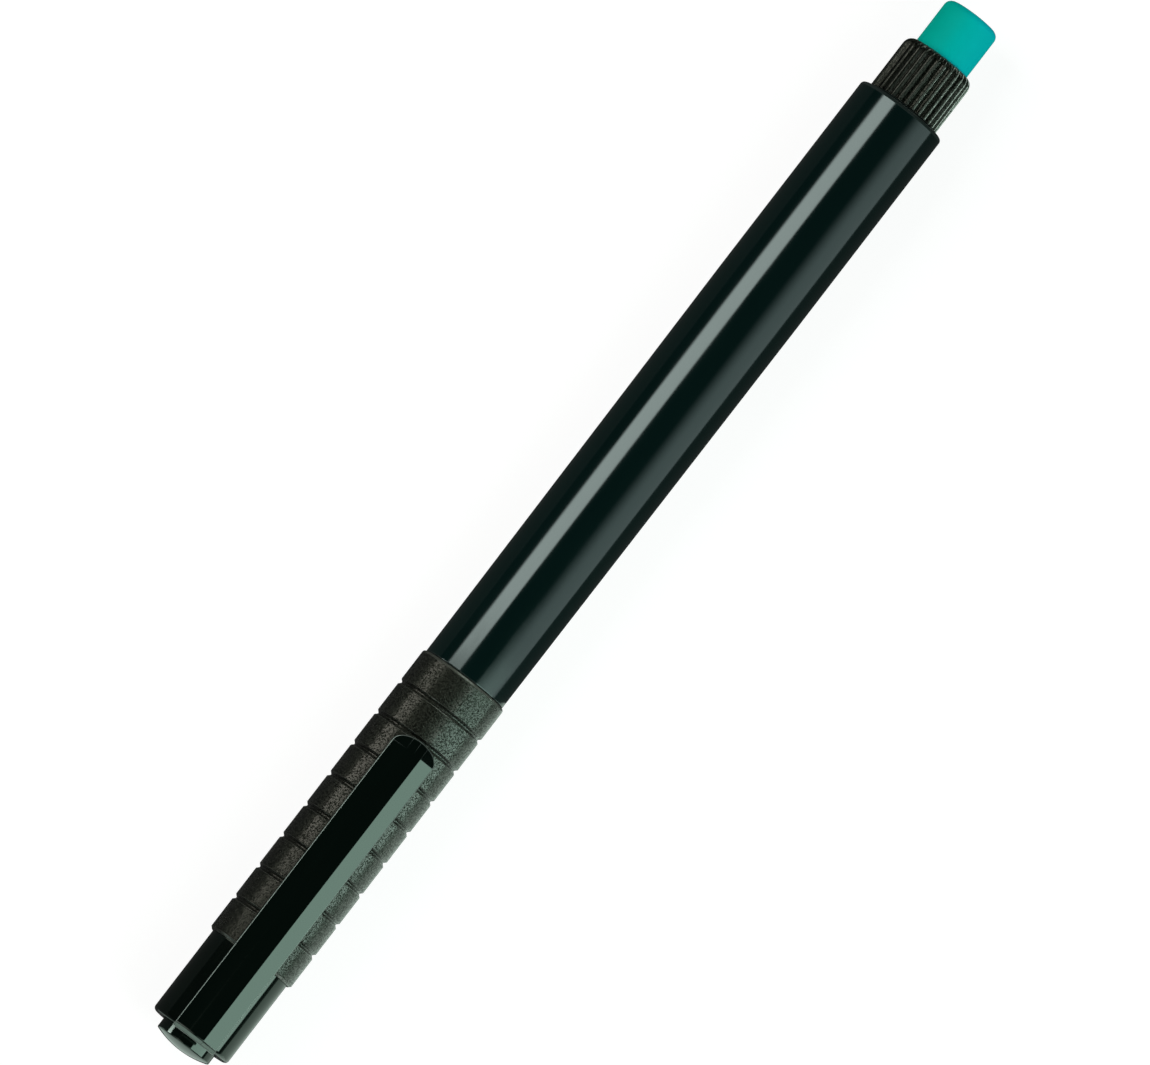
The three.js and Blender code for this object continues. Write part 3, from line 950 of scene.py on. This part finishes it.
# The skin's shoulder starts this much nearer to the lip than the solid's.
SHOULDER_REACH = 0.08
TAPER_LENGTH = 53.8
BARREL_BORE = 4.16
SHOULDER_WALL = 1.2
NECK_LENGTH = 13.0
NECK_CLEARANCE = 0.3
NECK_WALL = 0.85
BEAD_AT = 5.0
BEAD_HALF = 0.5
BEAD_HEIGHT = 0.12
RIM_RADIUS = 4.62
RIM_RISE = 0.16
RIM_GROOVE = 0.05
REAR_ROUND = 0.8
neck_radius = cap_bore - NECK_CLEARANCE
neck_bore = neck_radius - NECK_WALL
shoulder = start_of("barrel") + NECK_LENGTH
neck_start = shoulder - NECK_LENGTH
bead = shoulder - BEAD_AT
rear_face = barrel_end - RIM_RISE
barrel_corners = [
    (neck_start, neck_bore, 0.1),
    (neck_start, neck_radius, 0.35),
    (bead - BEAD_HALF, neck_radius, 0.3),
    (bead, neck_radius + BEAD_HEIGHT, 0.3),
    (bead + BEAD_HALF, neck_radius, 0.3),
    (shoulder - SHOULDER_REACH, neck_radius, 0.05),
    (shoulder - SHOULDER_REACH, BARREL_FRONT_RADIUS, 0.06),
    (shoulder + TAPER_LENGTH, barrel_rear_radius, 4),
    (rear_face, barrel_rear_radius, REAR_ROUND),
    (rear_face, barrel_rear_radius - REAR_ROUND - RIM_GROOVE, 0.03),
    (barrel_end, RIM_RADIUS, 0.06),
    (barrel_end, BARREL_BORE, 0.06),
    (shoulder + SHOULDER_WALL, BARREL_BORE, 0.2),
    (shoulder + SHOULDER_WALL, neck_bore, 0.1),
]
barrel = turned("barrel_skin", barrel_corners, barrel_gloss)
dress(barrel, "pen_body", "barrel")

# %% [markdown]
# ### Nib holder and nib
# The stepped front of the pen and its fibre point come into view as the cap is pulled off.

# %% Nib holder and nib
NIB_RADIUS = 0.95
NIB_TAPER = 1.7
NIB_POINT = 0.32
POINT_FLAT_SHARE = 0.55
POINT_SLANT_SHARE = 0.6
TIP_WALL = 0.55
SEAL_RADIUS = 3.0
TIP_LENGTH = 1.4
CONE_LENGTH = 4.6
SEAL_LENGTH = 5.5
FLANGE_LENGTH = 0.9
FLANGE_INSET = 0.5
TAIL_LENGTH = 8.0
TAIL_WALL = 0.8
nib_bore = NIB_RADIUS + SLIP_GAP
tip_radius = nib_bore + TIP_WALL
tail_radius = neck_bore - SLIP_GAP
tail_bore = tail_radius - TAIL_WALL
flange_radius = neck_radius - FLANGE_INSET
holder_start = start_of("nib_holder")
cone_end = holder_start + TIP_LENGTH + CONE_LENGTH
seal_end = cone_end + SEAL_LENGTH
flange_end = seal_end + FLANGE_LENGTH
tail_end = flange_end + TAIL_LENGTH
holder_corners = [
    (holder_start, nib_bore, 0.1),
    (holder_start, tip_radius, 0.2),
    (holder_start + TIP_LENGTH, tip_radius, 0.3),
    (cone_end, SEAL_RADIUS, 0.5),
    (seal_end, SEAL_RADIUS, 0.1),
    (seal_end, flange_radius, 0.15),
    (flange_end, flange_radius, 0.05),
    (flange_end, tail_radius, 0),
    (tail_end, tail_radius, 0.15),
    (tail_end, tail_bore, 0.1),
    (flange_end, tail_bore, 0.1),
    (flange_end, nib_bore, 0.1),
]
nib_holder = turned("nib_holder_skin", holder_corners, holder_satin)
dress(nib_holder, "pen_body", "nib_holder")

nib_start = start_of("nib")
nib_corners = [
    (nib_start, 0, 0),
    (nib_start, NIB_POINT * POINT_FLAT_SHARE, 0.12),
    (nib_start + NIB_POINT * POINT_SLANT_SHARE, NIB_POINT, 0.1),
    (nib_start + NIB_TAPER, NIB_RADIUS, 0.3),
    (end_of("nib"), NIB_RADIUS, 0.1),
    (end_of("nib"), 0, 0),
]
nib = turned("nib_skin", nib_corners, nib_fibre, closed=False)
dress(nib, "pen_body", "nib")

# %% [markdown]
# ### The ink reservoir
# The fibre rod and its film stay inside the barrel in every pose, so their CAD solids only
# get their finishes.

# %% Reservoir
hidden_pieces = (
    ("ink_reservoir", reservoir_fibre, "reservoir_fibre"),
    ("reservoir_wrap", film_clear, "reservoir_film"),
)
for node, finish, slot in hidden_pieces:
    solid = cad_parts[node]
    solid.data.materials.clear()
    solid.data.materials.append(finish)
    print(node, "gets", finish.name)

# %% [markdown]
# ### The fluted eraser holder
# Thirty rounded flutes run along the ring and over its shoulder, and die out at the rim
# round the eraser. A Geometry Nodes tree makes them from a plain turned blank: it pushes
# each point of the skin inwards by a wave of the angle round the axis. The push shrinks
# with the point's height above the rim, so that the flutes fade out over the shoulder.

# %% Eraser holder
FLUTE_COUNT = 30
FLUTE_DEPTH = 0.34
HOLDER_RADIUS = 4.53
HOLDER_LENGTH = 7.0
HOLDER_LIP = 0.06
POCKET_FLOOR = 0.9
POCKET_GAP = 0.1
TAIL_INTO_BARREL = 7.0
FLUTE_FACES = 720
SHOULDER_STEPS = 14
SHOULDER_LENGTH = 1.15
SKIN_SLACK = 0.01
LEAST_RADIUS = 0.001
FLUTE_SIZES = ("Flutes", "Depth", "Crest radius", "Rim radius", "Tail radius", "Skin start")
pocket_radius = eraser_radius + POCKET_GAP
holder_rim = pocket_radius + HOLDER_LIP
rear_tail_radius = BARREL_BORE - SLIP_GAP
rear_tail_bore = rear_tail_radius - TAIL_WALL


def flute_tree():
    """A tree that presses flutes into the skin of a turned blank."""
    net, given = new_tree("press_flutes", dict.fromkeys(FLUTE_SIZES, NUMBER))
    blank, flutes, depth, crest, rim, tail, skin_start, material = given
    position = net.node("GeometryNodeInputPosition")
    x, y, z = net.node("ShaderNodeSeparateXYZ", None, {0: position}, range(3))
    radius = (y * y + z * z) ** 0.5
    turn = y.sum("ARCTAN2", z, y)
    rib = turn * flutes / 2
    wave = 1 - rib.sum("ABSOLUTE", rib.sum("COSINE", rib))
    above = (radius - rim).at_least(0.0)
    behind = (x > skin_start + SKIN_SLACK).at_least(radius > tail + SKIN_SLACK)
    pushed = radius - above * depth * wave / (crest - rim) * behind
    scale = pushed / radius.at_least(LEAST_RADIUS)
    factors = net.node("ShaderNodeCombineXYZ", None, {"X": 1.0, "Y": scale, "Z": scale})
    moved = net.node("ShaderNodeVectorMath", {"operation": "MULTIPLY"}, {0: position, 1: factors})
    fluted = net.node("GeometryNodeSetPosition", None, {"Geometry": blank, "Position": moved})
    real = net.node("GeometryNodeRealizeInstances", None, {0: fluted})
    return end_tree(net, real, material)


shoulder_size = HOLDER_RADIUS - holder_rim
shoulder_start = barrel_end + HOLDER_LENGTH - SHOULDER_LENGTH
holder_blank = [
    (barrel_end - TAIL_INTO_BARREL, rear_tail_bore, 0),
    (barrel_end - TAIL_INTO_BARREL, rear_tail_radius, 0),
    (barrel_end, rear_tail_radius, 0),
    (barrel_end, HOLDER_RADIUS, 0.12),
]
for k in range(SHOULDER_STEPS + 1):
    angle = math.pi / 2 * k / SHOULDER_STEPS
    along = shoulder_start + SHOULDER_LENGTH * math.sin(angle)
    holder_blank.append((along, holder_rim + shoulder_size * math.cos(angle), 0))
holder_blank += [
    (barrel_end + HOLDER_LENGTH, pocket_radius, 0.04),
    (barrel_end + POCKET_FLOOR, pocket_radius, 0),
    (barrel_end + POCKET_FLOOR, 0, 0),
    (barrel_end, 0, 0),
    (barrel_end, rear_tail_bore, 0),
]
blank = object_of("holder_blank", spun("holder_blank", holder_blank, True, FLUTE_FACES))
radii = (HOLDER_RADIUS, holder_rim, rear_tail_radius)
sizes = (float(FLUTE_COUNT), FLUTE_DEPTH, *radii, barrel_end)
flute_values = dict(zip(FLUTE_SIZES, sizes), Material=ring_matt)
holder_mesh = run_tree(blank, flute_tree(), flute_values)
eraser_holder = settle(holder_mesh, "eraser_holder_skin", ring_matt)
dress(eraser_holder, "eraser_end", "eraser_holder")

# %% [markdown]
# ### The eraser
# A plain rod with a generous round at its working end and a small one in its pocket.

# %% Eraser
ERASER_ROUND = 0.85
eraser_corners = [
    (start_of("eraser"), 0, 0),
    (start_of("eraser"), eraser_radius, 0.3),
    (end_of("eraser"), eraser_radius, ERASER_ROUND),
    (end_of("eraser"), 0, 0),
]
eraser = turned("eraser_skin", eraser_corners, eraser_teal, closed=False)
dress(eraser, "eraser_end", "eraser")

# %% [markdown]
# ### The table
# The photo's background is plain white. A pale table gives the same and keeps the pen's
# soft shadow. Camera rays see it mixed with plain white, so that it is even to the corners.

# %% Table
TABLE_HALF = 3.0
TABLE_GAP = 0.00002
WHITE = (1, 1, 1, 1)
PAPER_TONE = 0.23
PAPER_MOTTLE = 0.02
PAPER_MIRRORED_DROP = 0.18
GLOW_SEEN = 0.875
GLOW_MIRRORED = 0.025


def table_finish():
    """Paper that the camera sees nearly white, and that gloss mirrors as a dark table."""
    finish = Finish("table_paper", Roughness=0.9, Specular_IOR_Level=0.0, Emission_Color=WHITE)
    rays = [f"Is {kind} Ray" for kind in ("Camera", "Glossy", "Transmission")]
    camera_ray, glossy_ray, through_ray = finish.node("ShaderNodeLightPath", output=rays)
    mottling = finish.noise(0.02) * PAPER_MOTTLE * (1 - glossy_ray)
    tone = mottling + PAPER_TONE - glossy_ray * PAPER_MIRRORED_DROP
    grey = finish.node("ShaderNodeCombineColor", None, {0: tone, 1: tone, 2: tone})
    finish.feed(finish.shader["Base Color"], grey)
    glow = camera_ray.at_least(through_ray) * GLOW_SEEN + glossy_ray * GLOW_MIRRORED
    finish.feed(finish.shader["Emission Strength"], glow)
    return finish.material


table_mesh = bpy.data.meshes.new("table")
signs = ((-1, -1), (1, -1), (1, 1), (-1, 1))
table_corners = [(a * TABLE_HALF, b * TABLE_HALF, -TABLE_GAP) for a, b in signs]
table_mesh.from_pydata(table_corners, [], [range(4)])
table_mesh.materials.append(table_finish())
table = object_of("table", table_mesh)
print("table", 2 * TABLE_HALF, "m square")

# %% [markdown]
# ### The light
# Black plastic shows its lamps. The photo tells where they were: a bright, narrow band
# along the upper-left side of the barrel, a broad dim one along the lower right, and
# darkness straight above. So a softbox is placed by the two angles between which the pen
# mirrors it, and by the stretch of the pen beside it. Where a photographer's black flag
# would keep a lamp off part of the set, light linking names what the lamp leaves out.

# %% Lamp helpers
LAMP_DISTANCE = 0.25
CARD_HEIGHT = 0.0002


def pen_x(x):
    """Millimetres from the domed end, as metres in the frame."""
    return (x + pen_start) / PER_METRE


def flag(lamp, shaded):
    """Keeps a lamp's light off some objects, as a black flag on a stand does."""
    group = bpy.data.collections.new(f"{lamp.name}_flag")
    for thing in shaded:
        group.objects.link(thing)
    for entry in group.collection_objects:
        entry.light_linking.link_state = "EXCLUDE"
    lamp.light_linking.receiver_collection = group


def area_lamp(name, place, axes, sizes, radiance, colour, shaded):
    """A lamp that looks as bright as its radiance, whatever its size. White paper is 1."""
    data = bpy.data.lights.new(name, "AREA")
    data.shape = "RECTANGLE"
    data.size, data.size_y = sizes
    data.energy = radiance * math.pi * data.size * data.size_y
    data.color = colour
    lamp = object_of(name, data)
    lamp.matrix_world = Matrix.Translation(place) @ Matrix(axes).transposed().to_4x4()
    lamp.visible_camera = False
    if shaded:
        flag(lamp, shaded)
    print(f"{name}: {data.size:.2f} by {data.size_y:.2f} m, kept off {len(shaded)}")
    return data


def fade(net, value, dark, bright):
    """A soft step, from 0 where value is dark to 1 where it is bright."""
    feeds = {"Value": value, "From Min": dark, "From Max": bright}
    return net.node("ShaderNodeMapRange", {"interpolation_type": "SMOOTHSTEP"}, feeds)


def softbox(name, turn, angles, run, radiance, colour, soft=(4, 4), shaded=()):
    """A soft lamp that the pen sees between two angles from straight up.

    turn is the level direction to it, in degrees from the eraser's end round towards +Y. It
    lies beside run, in millimetres from the domed end. soft is how many degrees its upper and
    its lower edge take to fade, and shaded is what it is kept off.
    """
    way = Vector((math.cos(math.radians(turn)), math.sin(math.radians(turn)), 0))
    low, high = angles
    middle = math.radians((low + high) / 2)
    half = math.radians((high - low) / 2)
    width = 2 * LAMP_DISTANCE * math.tan(half)
    out = way * math.sin(middle) + Vector((0, 0, math.cos(middle)))
    down = way * math.cos(middle) - Vector((0, 0, math.sin(middle)))
    beside = Vector((pen_x(sum(run) / 2), 0, axis_height / PER_METRE))
    sizes = ((run[1] - run[0]) / PER_METRE, width)
    axes = (down.cross(out), down, out)
    data = area_lamp(name, beside + out * LAMP_DISTANCE, axes, sizes, radiance, colour, shaded)
    data.use_nodes = True
    net = Net(data.node_tree)
    spot = net.node("ShaderNodeNewGeometry", output="Parametric")
    down_lamp = net.node("ShaderNodeSeparateXYZ", None, {0: spot}, "Y")
    edges = []
    for angle in (low, low + soft[0], high - soft[1], high):
        edges.append(0.5 + math.tan(math.radians(angle) - middle) / (2 * math.tan(half)))
    fade_in = fade(net, down_lamp, edges[0], edges[1])
    fade_out = fade(net, down_lamp, edges[2], edges[3])
    net.feed(net.tree.nodes["Emission"].inputs["Strength"], fade_in * (1 - fade_out))


def reflector(name, x_range, y_range, radiance, colour, shaded=()):
    """A bright card on the table. Its ranges start at the domed end and the middle line."""
    place = Vector((pen_x(sum(x_range) / 2), sum(y_range) / 2 / PER_METRE, CARD_HEIGHT))
    sizes = ((x_range[1] - x_range[0]) / PER_METRE, (y_range[1] - y_range[0]) / PER_METRE)
    axes = ((1, 0, 0), (0, -1, 0), (0, 0, -1))
    area_lamp(name, place, axes, sizes, radiance, colour, shaded)


print("lamp helpers ready")

# %% [markdown]
# ### Where the lamps stand
# A key stands on the left, a fill on the right, and a kick grazes an edge or the tops of the
# ribs. The tail lamps are for views from the domed end. Cards lie on the table, where the
# gloss mirrors them.

# %% Lamps
LEFT = 90
RIGHT = -90
AHEAD = 0
BEHIND = 180
lit = (end_plug, collar, clip, cap_shell, barrel, eraser_holder, eraser, table)


def all_but(*chosen):
    return tuple(thing for thing in lit if thing not in chosen)


off_bands = (end_plug, collar, clip, barrel, table)
softboxes = (
    # name, turn, angles, run, radiance, colour, soft, shaded
    ("key_barrel", LEFT, (25, 65), (69, 185), 4.4, (0.96, 1.0, 0.98), (4, 8),
     (cap_shell, clip, eraser_holder)),
    ("fill_barrel", RIGHT, (22, 90), (66, 185), 1.0, (0.86, 1.0, 1.0), (38, 2),
     (cap_shell, eraser_holder)),
    ("key_bands", LEFT, (48, 88), (40, 69), 2.8, (1.05, 1.0, 0.88), (16, 2),
     (end_plug, clip, barrel)),
    ("clip_kick", LEFT, (58, 88), (-15, 300), 5.0, (0.94, 1.0, 0.97), (8, 2), all_but(clip)),
    ("lip_kick", AHEAD, (26, 80), (-10, 110), 4.0, (0.92, 1.0, 0.92), (6, 6),
     all_but(cap_shell)),
    ("top_bands", RIGHT, (9, 27), (30, 70), 1.9, (0.9, 1.0, 0.88), (5, 2),
     (collar, clip, barrel)),
    ("low_bands", RIGHT, (78, 93), (44, 72), 3.2, (0.73, 1.0, 0.87), (4, 1), off_bands),
    ("fill_cap", RIGHT, (24.5, 84), (-60, 66), 3.4, (0.79, 1.0, 0.91), (2, 2), (cap_shell,)),
    ("fill_bands", RIGHT, (24.5, 84), (26, 70), 4.0, (0.73, 1.0, 0.88), (2, 2), off_bands),
    ("key_ring", LEFT, (36, 84), (168, 215), 1.8, (1.05, 1.0, 0.88), (8, 8), (barrel, clip)),
    ("top_ring", RIGHT, (0, 75), (160, 205), 0.7, (0.86, 1.0, 0.9), (10, 10), (barrel, clip)),
    ("fill_ring", RIGHT, (78, 95), (165, 215), 9.0, (0.78, 1.0, 0.9), (4, 1),
     (barrel, clip, eraser)),
    ("ring_kick", AHEAD, (40, 84), (85, 190), 2.0, (0.92, 1.0, 0.92), (6, 6),
     all_but(eraser_holder)),
    ("key_eraser", LEFT, (20, 80), (240, 330), 3.0, (0.7, 1.0, 0.87), (4, 4), all_but(eraser)),
    ("fill_eraser", RIGHT, (20, 88), (262, 350), 5.8, (0.45, 1.0, 1.75), (4, 4),
     all_but(eraser)),
    ("tail_left", 145, (28, 66), (-10, 150), 0.6, (1.0, 0.96, 0.86)),
    ("tail_right", -145, (28, 66), (-10, 150), 0.6, (0.86, 1.0, 0.92)),
    ("tail_card", BEHIND, (70, 91), (-100, 100), 2.2, (0.84, 1.0, 0.92), (4, 0.5), (collar,)),
    ("plug_kick", LEFT, (69, 85), (-60, 14), 10.0, (0.95, 1.0, 0.97), (1, 1),
     (collar, clip, cap_shell)),
)
cards = (
    # name, x_range, y_range, radiance, colour, shaded
    ("cap_card", (-20, 53), (-80, -7), 0.7, (0.82, 1.0, 0.88)),
    ("plug_card", (-80, -1), (-30, 30), 0.8, (0.82, 1.0, 0.9), (collar,)),
    ("ring_card", (112, 150), (-70, -8), 2.2, (0.8, 1.0, 0.88), all_but(eraser_holder)),
    ("rim_card", (-80, -1), (-30, 8), 0.35, (0.82, 1.0, 0.9), (end_plug, clip, cap_shell)),
    ("bevel_card", (-210, -140), (-135, -60), 2.8, (0.82, 1.0, 0.9), all_but(clip)),
)
for row in softboxes:
    softbox(*row)
for row in cards:
    reflector(*row)
print(len(softboxes), "softboxes and", len(cards), "cards")

# %% [markdown]
# ### The room
# A black pen in a white room turns grey, so the world is almost dark. Only the camera's own
# rays see it white.

# %% World
WORLD_LEVEL = 0.02
world = bpy.data.worlds.new("studio")
bpy.context.scene.world = world
world.use_nodes = True
world_net = Net(world.node_tree)
sky = world.node_tree.nodes["Background"]
seen_directly = world_net.node("ShaderNodeLightPath", output="Is Camera Ray")
world_net.feed(sky.inputs["Strength"], seen_directly * (1 - WORLD_LEVEL) + WORLD_LEVEL)
sky.inputs["Color"].default_value = WHITE
bpy.context.scene.view_settings.view_transform = "Standard"
print("world at", WORLD_LEVEL)

# %% Finish
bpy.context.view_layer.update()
